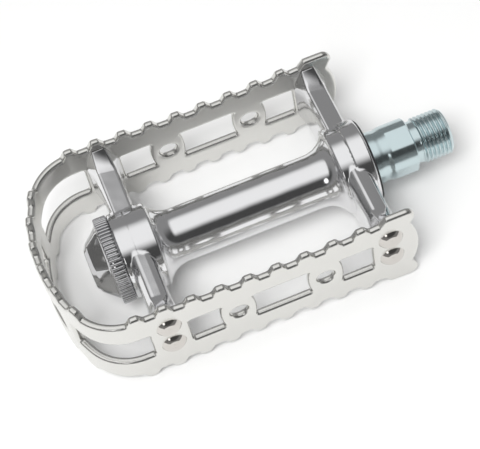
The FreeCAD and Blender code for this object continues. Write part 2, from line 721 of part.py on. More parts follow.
def make_cap():
    """A turned cap: a spigot inside the boss, a ring to grip and a tapered hexagon over the nut."""
    body = new_body("dust_cap")
    ring_end = "(-outer_face - cap_ring_length)"
    hex_end = f"({ring_end} - cap_hex_length)"
    turned(body, "ring", [
        (ring_end, "0"), (ring_end, "cap_ring / 2 - boss_edge"), (f"{ring_end} + boss_edge", "cap_ring / 2"),
        ("-outer_face", "cap_ring / 2"), ("-outer_face", "cup_radius"),
        ("cap_spigot - outer_face", "cup_radius"), ("cap_spigot - outer_face", "0"),
    ])
    base = outline(new_sketch(body, "hexagon_base", "YZ_Plane", ring_end), hexagon("cap_hex_base", "-cap_hex_turn"))
    end = outline(new_sketch(body, "hexagon_end", "YZ_Plane", hex_end), hexagon("cap_hex_end", "-cap_hex_turn"))
    loft = feature(body, "AdditiveLoft", base, "hexagon")
    loft.Sections = [end]
    loft.Ruled = True
    doc.recompute()
    end_x = value(hex_end)
    edges = [f"Edge{index}" for index, edge in enumerate(loft.Shape.Edges, start=1)
             if all(abs(vertex.X - end_x) < 1e-4 for vertex in edge.Vertexes)]
    rounded(body, loft, edges, "cap_round", "end_rounding")
    turned(body, "hollow", [
        ("cap_spigot - outer_face + plate_thick", "0"), ("cap_spigot - outer_face + plate_thick", "cap_hole / 2"),
        (ring_end, "cap_hole / 2"), (f"{hex_end} + cap_wall", "cap_hex_end / 2"), (f"{hex_end} + cap_wall", "0"),
    ], kind="Groove")
    return body


# Build, check and write

def check(item):
    """Stop on a failed object or a bad shape."""
    if {"Invalid", "Error"} & set(item.State):
        raise RuntimeError(f"{item.Label} did not compute: {item.State}")


make_body()
make_cage()
make_rivets()
make_spindle()
make_cup("inner_cup", "inner_balls", 1)
make_cup("outer_cup", "-outer_balls", -1)
make_balls("inner_ball_set", "inner_balls")
make_balls("outer_ball_set", "-outer_balls")
make_seal()
make_cone()
make_washer()
make_nut()
make_cap()
doc.recompute()

for item in doc.Objects:
    check(item)

sub_parts = [item for item in doc.Objects if item.TypeId in ("PartDesign::Body", "Part::Compound")]
for item in sub_parts:
    if item.Shape.isNull() or not item.Shape.isValid() or not item.Shape.Solids:
        raise RuntimeError(f"{item.Label} has no valid solid")

os.makedirs("parts", exist_ok=True)
for item in sub_parts:
    item.Shape.exportStep(os.path.join("parts", f"{item.Label}.step"))
    print(f"{item.Label}: {len(item.Shape.Solids)} solid(s), {item.Shape.Volume:.1f} mm3")
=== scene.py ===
# %% [markdown]
# # A flat bicycle pedal
#
# The real pedal is a strip of aluminium with toothed edges, folded round a polished casting. The casting
# turns on a steel spindle, and a chromed cap closes its outer end. The solids give the main sizes; this
# lesson gives the pieces their soft edges, their thread, their knurl and their finish, and lights them on a
# white table.

# %% Load the frame
import math

import bpy
import numpy as np
from mathutils import Matrix, Vector


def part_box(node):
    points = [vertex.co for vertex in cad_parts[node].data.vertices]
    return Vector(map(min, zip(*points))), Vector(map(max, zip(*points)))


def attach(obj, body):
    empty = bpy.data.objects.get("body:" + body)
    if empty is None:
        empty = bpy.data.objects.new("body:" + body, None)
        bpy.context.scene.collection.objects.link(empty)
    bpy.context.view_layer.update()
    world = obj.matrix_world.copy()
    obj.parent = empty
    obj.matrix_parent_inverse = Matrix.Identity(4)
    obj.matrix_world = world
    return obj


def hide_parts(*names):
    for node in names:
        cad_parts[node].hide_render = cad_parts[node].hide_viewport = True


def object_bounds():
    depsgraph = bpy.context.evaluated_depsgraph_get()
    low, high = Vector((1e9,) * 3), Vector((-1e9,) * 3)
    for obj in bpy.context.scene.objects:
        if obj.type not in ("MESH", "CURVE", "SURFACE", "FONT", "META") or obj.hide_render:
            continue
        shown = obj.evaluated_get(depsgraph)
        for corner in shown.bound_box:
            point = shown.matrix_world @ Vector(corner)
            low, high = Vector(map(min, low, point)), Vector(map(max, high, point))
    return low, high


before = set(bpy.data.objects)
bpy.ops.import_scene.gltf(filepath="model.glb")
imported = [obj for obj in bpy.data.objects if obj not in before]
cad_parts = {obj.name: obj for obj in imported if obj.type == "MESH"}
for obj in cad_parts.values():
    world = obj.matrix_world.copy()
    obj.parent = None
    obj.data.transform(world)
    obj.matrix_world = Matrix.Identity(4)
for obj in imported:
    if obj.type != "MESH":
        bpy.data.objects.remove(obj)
cad_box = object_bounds()
print("frame loaded,", len(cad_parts), "nodes")

# %% [markdown]
# ## Sizes
#
# The pieces are worked out in millimetres from the middle of the cage, as a maker would draw them, and are
# moved into the frame at the end. The main sizes are read off the frame's own boxes, so that each visual
# piece lies exactly on its solid. The rest are the small sizes that a box can't show.

# %% Sizes from the frame
MM = 0.001
RIVETS = [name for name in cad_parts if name.startswith("rivet_")]


def centre_of(node):
    low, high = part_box(node)
    return (low + high) / 2


def from_middle(x):
    """A place along the spindle, in millimetres from the middle of the cage."""
    return (x - CAGE_MIDDLE) / MM


outer_rivet, inner_rivet = centre_of("rivet_front_outer_upper"), centre_of("rivet_front_inner_upper")
lower_rivet = centre_of("rivet_front_outer_lower")
CAGE_MIDDLE = (outer_rivet.x + inner_rivet.x) / 2
ARM_REACH = (inner_rivet.x - outer_rivet.x) / 2 / MM
RIVET_SPREAD = (outer_rivet.z - lower_rivet.z) / MM
RIVET_LIFT = (outer_rivet.z + lower_rivet.z) / 2 / MM

cage_low, cage_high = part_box("cage")
CAGE_WIDTH = (cage_high.y - cage_low.y) / MM
TIP_HEIGHT = cage_high.z / MM
END_REACH = -from_middle(cage_low.x)
LOBE_REACH = from_middle(cage_high.x)
print(f"arms at {ARM_REACH:.1f}, cage {CAGE_WIDTH:.1f} wide, outer end at {END_REACH:.1f} mm")

# %% [markdown]
# ## A surface from a distance field
#
# Castings and blanked sheet have no knife edges. Bevel modifiers could round them, but they stumble where
# many fillets meet. A distance field rounds everything at once: it is a function that is negative inside
# the metal and positive outside. Two shapes are joined with a soft minimum, which leaves a fillet, and cut
# with a soft maximum, which leaves a rounded edge. The surface is then drawn by surface nets: each grid
# cell that the surface passes through gets one point, and points of neighbouring cells make a quad. A few
# Newton steps put every point exactly on the surface, and the field's slope is its normal.

# %% Field helpers
def soft_min(a, b, reach):
    """The smaller of two fields, with a fillet of about that reach where they meet."""
    share = np.clip(0.5 + 0.5 * (b - a) / reach, 0, 1)
    return b * (1 - share) + a * share - reach * share * (1 - share)


def soft_max(a, b, reach):
    return -soft_min(-a, -b, reach)


def round_both(a, b, radius):
    """What lies inside both fields, with the outer edge rounded to a radius."""
    a, b = a + radius, b + radius
    return np.minimum(np.maximum(a, b), 0) + np.hypot(np.maximum(a, 0), np.maximum(b, 0)) - radius


def ramp(value, start, end):
    """0 before start, 1 after end and a straight line between."""
    return np.clip((value - start) / (end - start), 0, 1)


def ease(value):
    return value * value * (3 - 2 * value)


print("where two fields meet with a reach of 1 mm, the fillet is", -soft_min(0.0, 0.0, 1.0), "mm deep")

# %% Surface nets
AIR_BEFORE, AIR_AFTER = 2.4, 3
NEWTON_STEPS = 4
LEAST_SLOPE = 1e-6


def field_slope(field, points, reach=0.02):
    """The field's gradient at each point, by small differences."""
    slope = np.empty_like(points)
    for axis in range(3):
        step = np.zeros(3)
        step[axis] = reach
        slope[:, axis] = (field(*(points + step).T) - field(*(points - step).T)) / (2 * reach)
    return slope


def cell_points(values, inside):
    """For each cell, the mean of where its edges cross the surface, in cells, and how many edges do."""
    cells = tuple(n - 1 for n in values.shape)
    place, count = np.zeros((*cells, 3)), np.zeros(cells)

    def corner(array, offset):
        return array[tuple(slice(o, n + o) for o, n in zip(offset, cells))]

    for axis in range(3):
        for first in (0, 1):
            for second in (0, 1):
                start = np.insert([first, second], axis, 0)
                end = np.insert([first, second], axis, 1)
                crossed = corner(inside, start) != corner(inside, end)
                a, b = corner(values, start), corner(values, end)
                along = np.where(crossed, a / np.where(crossed, a - b, 1), 0)
                for k in range(3):
                    place[..., k] += along if k == axis else crossed * start[k]
                count += crossed
    return place / np.maximum(count, 1)[..., None], count


def cell_quads(inside, number):
    """The quads round every grid edge that crosses the surface, facing out of the metal."""
    quads = []
    for axis in range(3):
        u, v = (axis + 1) % 3, (axis + 2) % 3
        before = np.take(inside, range(inside.shape[axis] - 1), axis)
        after = np.take(inside, range(1, inside.shape[axis]), axis)
        spots = np.argwhere(before != after)
        leaves = before[tuple(spots.T)]
        ring = []
        for du, dv in ((-1, -1), (0, -1), (0, 0), (-1, 0)):
            cell = spots.copy()
            cell[:, u] += du
            cell[:, v] += dv
            ring.append(number[tuple(cell.T)])
        ring = np.array(ring).T
        quads.append(np.where(leaves[:, None], ring, ring[:, ::-1]))
    return np.concatenate(quads)


def skin(field, low, high, step):
    """Points, normals and quads of the surface where the field is zero; step is the grid's size on each axis.

    The grid starts a part of a cell before the box, so that none of its planes lies in a flat face.
    """
    step = np.array(step, float)
    axes = [np.arange(a - AIR_BEFORE * d, b + AIR_AFTER * d, d) for a, b, d in zip(low, high, step)]
    values = field(*np.meshgrid(*axes, indexing="ij"))
    inside = values < 0
    place, count = cell_points(values, inside)
    active = count > 0
    number = np.full(active.shape, -1)
    number[active] = np.arange(active.sum())
    origin = np.array([a[0] for a in axes])
    points = origin + (np.argwhere(active) + place[active]) * step
    for _ in range(NEWTON_STEPS):
        slope = field_slope(field, points)
        move = field(*points.T)[:, None] * slope / np.maximum((slope ** 2).sum(1), LEAST_SLOPE)[:, None]
        points -= np.clip(move, -step / 2, step / 2)
    slope = field_slope(field, points)
    normals = slope / np.linalg.norm(slope, axis=1)[:, None]
    return points, normals, cell_quads(inside, number)


# %% [markdown]
# ## Meshes in the frame
#
# The frame is in metres and starts at the spindle's thread. One helper scales and moves the points of a
# piece, so that no object needs a transform of its own. Another ties the piece to the body that it turns
# with and hides the solids that it stands for.

# %% From millimetres to the frame
def new_piece(name, points, faces, normals=None, sharp_angle=None):
    """A mesh object in the frame from points in millimetres from the middle of the cage."""
    mesh = bpy.data.meshes.new(name)
    placed = np.array(points) * MM + np.array([CAGE_MIDDLE, 0, 0])
    mesh.from_pydata(placed.tolist(), [], [list(map(int, face)) for face in faces])
    mesh.update()
    mesh.polygons.foreach_set("use_smooth", [True] * len(mesh.polygons))
    if normals is not None:
        mesh.normals_split_custom_set_from_vertices(np.array(normals).tolist())
    if sharp_angle is not None:
        mesh.set_sharp_from_angle(angle=math.radians(sharp_angle))
    piece = bpy.data.objects.new(name, mesh)
    bpy.context.scene.collection.objects.link(piece)
    return piece


def dress(piece, body, slot, *nodes):
    """Tie a finished piece to a body and hide the solids that it stands for; the slot is not used."""
    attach(piece, body)
    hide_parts(*nodes)
    print(f"{piece.name}: {len(piece.data.polygons)} faces, rides on {body}")


# %% [markdown]
# ## Writing nodes as sums
#
# Shader and geometry trees are easier to read as expressions. One small class holds a socket and adds a
# Math node for each operator; one method of the tree adds any other node, first its settings and then its
# sockets.

# %% Node helpers
class Wire:
    """An output socket that can stand in a sum."""

    def __init__(self, tree, socket):
        self.tree = tree
        self.socket = socket

    def math(self, operation, first, second):
        return self.tree.add("ShaderNodeMath", {"operation": operation}, {0: first, 1: second})

    def __add__(self, other):
        return self.math("ADD", self, other)

    def __sub__(self, other):
        return self.math("SUBTRACT", self, other)

    def __mul__(self, other):
        return self.math("MULTIPLY", self, other)

    def __truediv__(self, other):
        return self.math("DIVIDE", self, other)

    def __rsub__(self, other):
        return self.math("SUBTRACT", other, self)

    def __gt__(self, other):
        return self.math("GREATER_THAN", self, other)

    __radd__ = __add__


class Tree:
    """A node tree that is built one call at a time."""

    def __init__(self, tree):
        self.tree = tree
        tree.nodes.clear()

    def add(self, kind, settings=None, sockets=None, output=0):
        node = self.tree.nodes.new(kind)
        for name, setting in (settings or {}).items():
            setattr(node, name, setting)
        for name, value in (sockets or {}).items():
            if isinstance(value, Wire):
                self.tree.links.new(value.socket, node.inputs[name])
            else:
                node.inputs[name].default_value = value
        return Wire(self, node.outputs[output]) if len(node.outputs) else node


def new_finish(name):
    """A material with an empty tree."""
    material = bpy.data.materials.new(name)
    material.use_nodes = True
    return material, Tree(material.node_tree)


def principled(tree, **sockets):
    """The surface of a material; a socket's name is written with underscores."""
    named = {name.replace("_", " "): value for name, value in sockets.items()}
    surface = tree.add("ShaderNodeBsdfPrincipled", None, named)
    tree.add("ShaderNodeOutputMaterial", None, {"Surface": surface})


# %% [markdown]
# ## Finishes
#
# All the metals are plain conductors, so each has one tint and one roughness, and a little noise on Object
# coordinates keeps them from looking like plastic. A painted gradient would do for one picture, but a real
# metal takes its light and shade from the room, so nothing else is drawn on it. The cage is satin, the
# casting is buffed and shows the faint waves that a buffing wheel leaves, the cap is chromed, and the
# spindle is zinc plated and slightly blue. The seal is dull black rubber.

# %% Metals and rubber
def finish(name, tint, roughness, grain=0.03, grain_size=900, waves=0.0, wave_size=140, metallic=1):
    """A finish whose roughness drifts by grain, with shallow waves in its surface."""
    material, tree = new_finish(name)
    where = tree.add("ShaderNodeTexCoord", output="Object")
    noise = tree.add("ShaderNodeTexNoise", None, {"Vector": where, "Scale": grain_size, "Detail": 2})
    drift = (noise - 0.5) * (2 * grain)
    sockets = {"Base_Color": (*tint, 1), "Metallic": metallic, "Roughness": roughness + drift}
    if waves:
        swell = tree.add("ShaderNodeTexNoise", None, {"Vector": where, "Scale": wave_size, "Detail": 1})
        bump = {"Height": swell, "Strength": waves, "Distance": MM}
        sockets["Normal"] = tree.add("ShaderNodeBump", None, bump)
    principled(tree, **sockets)
    return material


SATIN = finish("satin_aluminium", (0.715, 0.71, 0.685), 0.25, grain=0.015, grain_size=300)
BUFFED = finish("buffed_aluminium", (0.75, 0.75, 0.76), 0.12, waves=0.10)
RIVET = finish("rivet_aluminium", (0.62, 0.595, 0.565), 0.12)
CHROME = finish("cap_chrome", (0.53, 0.53, 0.54), 0.08, grain=0.02)
ZINC = finish("zinc_plate", (0.56, 0.66, 0.68), 0.20, grain=0.04, grain_size=500)
STEEL = finish("bearing_steel", (0.52, 0.52, 0.54), 0.18)
RUBBER = finish("seal_rubber", (0.018, 0.018, 0.02), 0.6, grain=0.1, waves=0.2, wave_size=1200, metallic=0)
print("finishes:", ", ".join(material.name for material in bpy.data.materials if material.users == 0))

# %% [markdown]
# ## The cage
#
# The cage is one long blank, stamped flat with its teeth and windows and then folded. It could be modelled
# in place, but then windows would have to be cut through the bends. So it is drawn flat, as it was stamped:
# s runs along the blank from the middle of the outer end, z is its height and n is the depth in the sheet.
# The flat field is turned into a surface, and its points are then folded along the line that the strip
# follows.

# %% The line that the strip follows
PLATE_THICK = 2.5
END_RADIUS = 51.0
CORNER_RADIUS = 16.3
end_line, corner_line = END_RADIUS - PLATE_THICK / 2, CORNER_RADIUS - PLATE_THICK / 2
end_centre = END_RADIUS - END_REACH
corner_y = CAGE_WIDTH / 2 - CORNER_RADIUS
corner_x = end_centre - math.sqrt((END_RADIUS - CORNER_RADIUS) ** 2 - corner_y ** 2)
end_angle = math.asin(corner_y / (END_RADIUS - CORNER_RADIUS))
end_length = end_line * end_angle
bend_length = end_length + corner_line * (math.pi / 2 - end_angle)
blank_length = bend_length + LOBE_REACH - corner_x


def strip_line(s):
    """Place along X and Y of the strip's middle, and its outward direction, at each s."""
    along, side = np.abs(s), np.sign(s)
    at_end = along / end_line
    at_corner = end_angle + (along - end_length) / corner_line
    on_end, on_plate = along < end_length, along > bend_length
    turn = np.where(on_end, at_end, np.where(on_plate, math.pi / 2, at_corner))
    x = np.where(on_end, end_centre - end_line * np.cos(turn), corner_x - corner_line * np.cos(turn))
    x = np.where(on_plate, corner_x + along - bend_length, x)
    y = np.where(on_end, end_line * np.sin(turn), corner_y + corner_line * np.sin(turn))
    return x, side * y, -np.cos(turn), side * np.sin(turn)


print(f"the blank is {2 * blank_length:.0f} mm long, bent over {2 * bend_length:.0f} mm")

# %% [markdown]
# ## Teeth
#
# The teeth grip the sole of a shoe. An Array modifier could repeat one of them, but the edge sags between
# the arms and the teeth follow it. So the edge is a height by place, with a soft trapezoid at every pitch.

# %% Teeth along the edges
TOOTH_PITCH = 8.42
TOOTH_HEIGHT = 2.25
TOOTH_TIP = 1.6
TOOTH_FLANK = 2.1
EDGE_SAG = 1.85
TEETH_OUTWARD = 5
TEETH_CRANKWARD = 3
END_TEETH = 6
bend_tooth_x = -(TEETH_OUTWARD + 0.5) * TOOTH_PITCH
horn_x = (TEETH_CRANKWARD + 1) * TOOTH_PITCH - TOOTH_TIP / 2
print(f"plate edge: {TEETH_OUTWARD + TEETH_CRANKWARD + 1} teeth and a horn, outer end: {END_TEETH} teeth")


def tooth_rise(place, first, last):
    """0 at the roots and 1 at the tips of teeth; first and last are their places, in pitches."""
    nearest = np.clip(np.round(place / TOOTH_PITCH - first % 1) + first % 1, first, last) * TOOTH_PITCH
    rise = 1 - ramp(np.abs(place - nearest), TOOTH_TIP / 2, TOOTH_TIP / 2 + TOOTH_FLANK)
    return ease(rise)


def edge_height(x, y):
    """Height of the strip's edge: teeth and a horn on the plates, plain corners, teeth on the outer end."""
    tip = TIP_HEIGHT - EDGE_SAG * np.maximum(1 - (x / ARM_REACH) ** 2, 0)
    plate = np.maximum(tooth_rise(x, -TEETH_OUTWARD, TEETH_CRANKWARD), ramp(x, horn_x - TOOTH_FLANK, horn_x))
    outer = tooth_rise(y, (1 - END_TEETH) / 2, (END_TEETH - 1) / 2)
    return tip - TOOTH_HEIGHT * (1 - np.where(x > bend_tooth_x, plate, outer))


# %% [markdown]
# ## Horns, windows and holes
#
# Towards the crank each plate ends in a round lobe between two horns. Windows save weight, and round holes
# take the screws of a toe clip. Boolean cutters would leave knife edges, so the openings are fields as
# well.

# %% Horns, windows and holes
FAR = 50.0
NOTCH_DEPTH, NOTCH_HEIGHT = 2.4, 10.0
NOTCH_SLOPE, NOTCH_FILLET = 0.4, 0.8
HORN_RADIUS, HORN_SHARE = 2.8, 0.75
WINDOW_HALF = 5.6
WINDOW_CORNER = 0.9
WINDOW_BOW = 0.8
ARM_GAP, BEND_GAP = 5.6, 6.0
WINDOW_NEAR, WINDOW_FAR = 18.0, ARM_REACH - ARM_GAP
WINDOW_MIDDLE = 8.7
HOLE_REACH, HOLE_RADIUS = 13.3, 2.7
BEND_WINDOW_Y, END_WINDOW_Y = 18.0, 12.6
PLATE_LEAD = 6.0
bend_window = (end_line * math.asin(BEND_WINDOW_Y / end_line), bend_length - corner_x - ARM_REACH - BEND_GAP)
end_window = end_line * math.asin(END_WINDOW_Y / end_line)
lobe_radius = (NOTCH_HEIGHT ** 2 + NOTCH_DEPTH ** 2) / (2 * NOTCH_DEPTH)
print(f"windows {2 * WINDOW_HALF:.1f} mm high, lobes of {lobe_radius:.1f} mm radius")


def crank_end(z):
    """How far the plates reach towards the crank: a round lobe between two horns."""
    height = np.abs(z)
    lobe = LOBE_REACH - lobe_radius + np.sqrt(np.maximum(lobe_radius ** 2 - height ** 2, 1))
    slant = LOBE_REACH - NOTCH_DEPTH * (1 - HORN_SHARE * ramp(height, NOTCH_HEIGHT, TIP_HEIGHT - HORN_RADIUS))
    notch = np.where(height < NOTCH_HEIGHT, slant + NOTCH_SLOPE * (height - NOTCH_HEIGHT), slant)
    return soft_max(lobe, notch, NOTCH_FILLET)


def window(place, z, start, end, bow_start=0.0, bow_end=0.0):
    """An opening from start to end whose ends may bow inwards, with rounded corners."""
    bow = 1 - np.minimum(np.abs(z) / WINDOW_HALF, 1) ** 2
    ends = np.maximum(start + bow_start * bow - place, place - end + bow_end * bow)
    return round_both(ends, np.abs(z) - WINDOW_HALF, WINDOW_CORNER)


def openings(s, x, z):
    """Everything that is punched out of the blank."""
    along, across = np.abs(s), np.abs(x)
    on_plate = along > bend_length - PLATE_LEAD
    plate = np.minimum(window(across, z, -WINDOW_MIDDLE, WINDOW_MIDDLE, bow_end=WINDOW_BOW),
                       window(across, z, WINDOW_NEAR, WINDOW_FAR, bow_start=WINDOW_BOW))
    plate = np.minimum(plate, np.hypot(across - HOLE_REACH, z) - HOLE_RADIUS)
    folded = np.minimum(window(along, z, *bend_window), window(along, z, -end_window, end_window))
    return np.minimum(np.where(on_plate, plate, FAR), folded)


# %% [markdown]
# ## Folding
#
# A press folds the blank round its end and two corners. A Simple Deform modifier bends with one radius
# only, so each point is carried along the strip's line instead, and its normal with it.

# %% Fold the blank
EDGE_ROUND = 1.1
CAGE_GRID = (0.5, 0.42, 0.36)
EDGE_SCALE, CRANK_SCALE = 0.85, 0.95


def blank_field(s, z, n):
    """The flat blank. Heights and reaches are scaled to near distances, because the edges run at a slant."""
    x, y, _, _ = strip_line(s)
    edge = (np.abs(z) - edge_height(x, y)) * EDGE_SCALE
    crankward = np.where(np.abs(s) > bend_length, (x - crank_end(z)) * CRANK_SCALE, -FAR)
    flat = np.maximum(round_both(edge, crankward, HORN_RADIUS), -openings(s, x, z))
    return round_both(flat, np.abs(n) - PLATE_THICK / 2, EDGE_ROUND)


def make_cage():
    """The blank's surface, folded. Its quads are turned round, because s, z and n are a left-handed set."""
    reach = (blank_length, TIP_HEIGHT, PLATE_THICK / 2)
    points, normals, quads = skin(blank_field, [-r for r in reach], reach, CAGE_GRID)
    s, z, n = points.T
    x, y, out_x, out_y = strip_line(s)
    folded = np.stack([x + n * out_x, y + n * out_y, z], 1)
    facing = np.stack([normals[:, 2] * out_x + normals[:, 0] * out_y,
                       normals[:, 2] * out_y - normals[:, 0] * out_x, normals[:, 1]], 1)
    piece = new_piece("cage_strip", folded, quads[:, ::-1], facing)
    piece.data.materials.append(SATIN)
    dress(piece, "pedal", "cage", "cage")


make_cage()

# %% [markdown]
# ## The casting
#
# The body is cast in one piece and then buffed bright. Separate cylinders and blocks would show seams in
# the polish, so it is one field of the same kind: a barrel, two bosses and four arms, joined by soft
# minimums so that every corner has the fillet that a casting needs. Where a hollow runs out into the barrel
# its blend fades away, because a mirror shows even a tenth of a degree.

# %% Barrel, bosses and roots
body_low, body_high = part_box("pedal_body")
OUTER_FACE, INNER_FACE = from_middle(body_low.x), from_middle(body_high.x)
BARREL_RADIUS, BOSS_RADIUS, FLANGE_RADIUS = 8.3, 13.0, 13.6
OUTER_INSET, INNER_INSET = 6.2, 4.6
OUTER_BACK, INNER_BACK = OUTER_INSET - ARM_REACH, ARM_REACH - INNER_INSET
BOSS_EDGE, BOSS_BLEND, SEAM_STEP = 0.7, 0.2, 0.1
ROOT_HOLLOW, ROOT_OVERLAP, ROOT_BLEND = 8.0, 1.0, 0.5
LEAST_BLEND = 0.001
root_rise = BOSS_RADIUS - BOSS_EDGE - BARREL_RADIUS
root_length = math.sqrt(2 * ROOT_HOLLOW * root_rise - root_rise ** 2)
print(f"bosses end at {OUTER_FACE:.1f} and {INNER_FACE:.1f} mm, their roots are {root_length:.1f} mm long")


def disc(x, radius, start, end, reach):
    """A turned disc between two places along the spindle."""
    return round_both(radius - reach, np.abs(x - (start + end) / 2) - (end - start) / 2, BOSS_EDGE)


def root_field(radius, depth):
    """The hollow from a boss's rim down to the barrel; depth is how far a point lies from the boss."""
    hollow = ROOT_HOLLOW - np.hypot(root_length - depth, BARREL_RADIUS + ROOT_HOLLOW - radius)
    ends = np.maximum(depth - root_length, -depth - ROOT_OVERLAP)
    return np.maximum(hollow, np.maximum(ends, radius - BOSS_RADIUS + BOSS_EDGE))


def fading(blend, share):
    """A blend that fades out as the share goes from 1 to 0."""
    return blend * np.clip(share, LEAST_BLEND, 1)


def barrel_field(x, radius):
    """The barrel, its bosses and the hollows between them."""
    core = disc(x, radius, -ARM_REACH, ARM_REACH, BARREL_RADIUS)
    bosses = ((OUTER_FACE, -ARM_REACH, BOSS_RADIUS), (OUTER_FACE, OUTER_BACK, BOSS_RADIUS - SEAM_STEP),
              (INNER_BACK, INNER_FACE, BOSS_RADIUS), (ARM_REACH, INNER_FACE, FLANGE_RADIUS))
    for start, end, reach in bosses:
        core = soft_min(core, disc(x, radius, start, end, reach), BOSS_BLEND)
    for depth in (x - OUTER_BACK, INNER_BACK - x):
        core = soft_min(core, root_field(radius, depth), fading(ROOT_BLEND, 1 - depth / root_length))
    return core


# %% [markdown]
# ## Arms and webs
#
# Four arms carry the cage. Each is a tall block with bevelled corners that widens into a foot for its
# rivets, and a web stiffens the corner between arm and barrel. A loft could join the sections, but the
# field only needs their sizes to change on the way.

# %% Arms and webs
ARM_FLAT, ARM_HALF, ARM_TOP, ARM_BEVEL = 1.6, 3.7, 10.9, 2.8
REAR_FLAT = 2.5
ARM_RIDGE, REAR_RIDGE, CROWN_EDGE = 0.8, 0.6, 0.6
ARM_LEAN = math.tan(math.radians(14))
PAD_FLAT, PAD_HALF, PAD_TOP, PAD_BEVEL, PAD_EDGE = 1.9, 5.1, 14.0, 7.4, 0.3
FLARE_LENGTH, FLARE_POWER = 6.5, 1.5
WEB_RADIUS, WEB_HALF, WEB_EDGE = 6.5, 4.0, 1.5
pad_face = CAGE_WIDTH / 2 - PLATE_THICK
web_start = ARM_REACH - ARM_HALF - WEB_RADIUS
print(f"feet of the arms at {pad_face:.1f} mm, webs from {web_start:.1f} mm")


def arm_field(x, y, z):
    """Four arms that widen into feet at the plates; those at the rear have broader tops."""
    flare = ramp(np.abs(y), pad_face - FLARE_LENGTH, pad_face) ** FLARE_POWER
    arm_flat, ridge = np.where(y > 0, REAR_FLAT, ARM_FLAT), np.where(y > 0, REAR_RIDGE, ARM_RIDGE)
    widths = ((arm_flat, PAD_FLAT), (ARM_HALF, PAD_HALF), (ARM_TOP, PAD_TOP), (ARM_BEVEL, PAD_BEVEL))
    flat, half, top, bevel = (arm + (pad - arm) * flare for arm, pad in widths)
    w, v = x - np.sign(x) * ARM_REACH, np.abs(z)
    u = np.abs(w)
    slant = ((u - flat) * bevel + (v - top) * (half - flat)) / np.hypot(bevel, half - flat)
    crown = v - top + ARM_LEAN * (1 - flare) * (w + flat)
    section = soft_max(soft_max(u - half, crown, CROWN_EDGE), slant, ridge)
    return round_both(section, np.abs(y) - pad_face, PAD_EDGE)


def web_field(x, y, z):
    """A hollow-edged web in each corner between barrel and arm."""
    corner_at_y = math.sqrt(BARREL_RADIUS ** 2 - WEB_HALF ** 2) + WEB_RADIUS
    hollow = WEB_RADIUS - np.hypot(np.abs(x) - web_start, np.maximum(corner_at_y - np.abs(y), 0))
    limit = np.maximum(np.maximum(np.abs(x) - ARM_REACH, web_start - np.abs(x)), np.abs(y) - corner_at_y)
    return soft_max(np.maximum(hollow, limit), np.abs(z) - WEB_HALF, WEB_EDGE)


# %% Cast the body
WEB_BLEND, ARM_BLEND = 2.0, 0.5
CUP_RADIUS, CUP_INSET, BORE_RADIUS = 11.21, 2.0, 7.2
BODY_GRID = 0.46


def body_field(x, y, z):
    """The whole casting, less the bores for the spindle and the bearing cups."""
    radius = np.hypot(y, z)
    core = barrel_field(x, radius)
    core = soft_min(core, web_field(x, y, z), fading(WEB_BLEND, (np.abs(x) - web_start) / WEB_RADIUS))
    full = soft_min(core, arm_field(x, y, z), ARM_BLEND)
    cup = np.where(np.abs(x) > ARM_REACH - CUP_INSET, radius - CUP_RADIUS, FAR)
    return np.maximum(full, -np.minimum(radius - BORE_RADIUS, cup))


def make_body():
    low, high = (OUTER_FACE, -pad_face, -PAD_TOP), (INNER_FACE, pad_face, PAD_TOP)
    points, normals, quads = skin(body_field, low, high, [BODY_GRID] * 3)
    piece = new_piece("body_casting", points, quads, normals)
    piece.data.materials.append(BUFFED)
    dress(piece, "pedal", "body", "pedal_body")


make_body()

# %% [markdown]
# ## Turned pieces
#
# A lathe makes the spindle, the cap, the seal and the rivets, so they are drawn as rows of rings. Each ring
# has a place along the spindle and a radius, and the radius may depend on the angle: that is enough for a
# hexagon, for spanner flats and for a thread, whose crest moves along by one pitch in each turn. A Screw
# modifier would also make a thread, but it would leave the ends to be closed by hand.

# %% Lathe
WELD_DIGITS = 5


def lathe(name, rows, turns=128, sharp_angle=35):
    """A closed turned piece from rows of (x, radius), where a radius is a number or a function of the angle.

    A fan closes each end, unless the last row is the first one again, as on a ring. Points that fall
    together, as where a flat runs out into its round, are welded.
    """
    angle = np.arange(turns) * 2 * math.pi / turns
    points, faces = [], []
    for x, radius in rows:
        reach = radius(angle) if callable(radius) else np.full(turns, radius)
        points += list(zip(np.full(turns, x), reach * np.cos(angle), reach * np.sin(angle)))
    ring = [row * turns + np.arange(turns) for row in range(len(rows))]
    for here, there in zip(ring, ring[1:]):
        faces += list(zip(here, np.roll(here, -1), np.roll(there, -1), there))
    if rows[0] != rows[-1]:
        for end, x in ((ring[0][::-1], rows[0][0]), (ring[-1], rows[-1][0])):
            faces += [(len(points), a, b) for a, b in zip(end, np.roll(end, -1))]
            points.append((x, 0, 0))
    rounded = np.round(points, WELD_DIGITS)
    _, kept, number = np.unique(rounded, axis=0, return_index=True, return_inverse=True)
    welded = [list(dict.fromkeys(number.ravel()[list(face)])) for face in faces]
    return new_piece(name, np.array(points)[kept], [face for face in welded if len(face) > 2],
                     sharp_angle=sharp_angle)


# %% [markdown]
# ## The spindle
#
# The spindle screws into the crank with a thread of 9/16 inch and 20 threads per inch. Four flats behind
# the thread take a spanner, and the inner race of the crank-side balls is turned straight into the shaft.

# %% Collar and spanner flats
spindle_low, spindle_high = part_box("spindle")
TAIL, THREAD_END = from_middle(spindle_low.x), from_middle(spindle_high.x)
THREAD_START = from_middle(0.0)
NECK_LENGTH, NECK_RADIUS = 2.0, 6.5
SEAT = THREAD_START - NECK_LENGTH
COLLAR_RADIUS = 8.3
FLAT_REACH, FLAT_LENGTH, FLAT_SOFT, FLAT_LEAN = 7.75, 7.3, 0.12, math.radians(12)
print(f"tail at {TAIL:.1f}, seat at {SEAT:.1f}, thread from {THREAD_START:.1f} to {THREAD_END:.1f} mm")


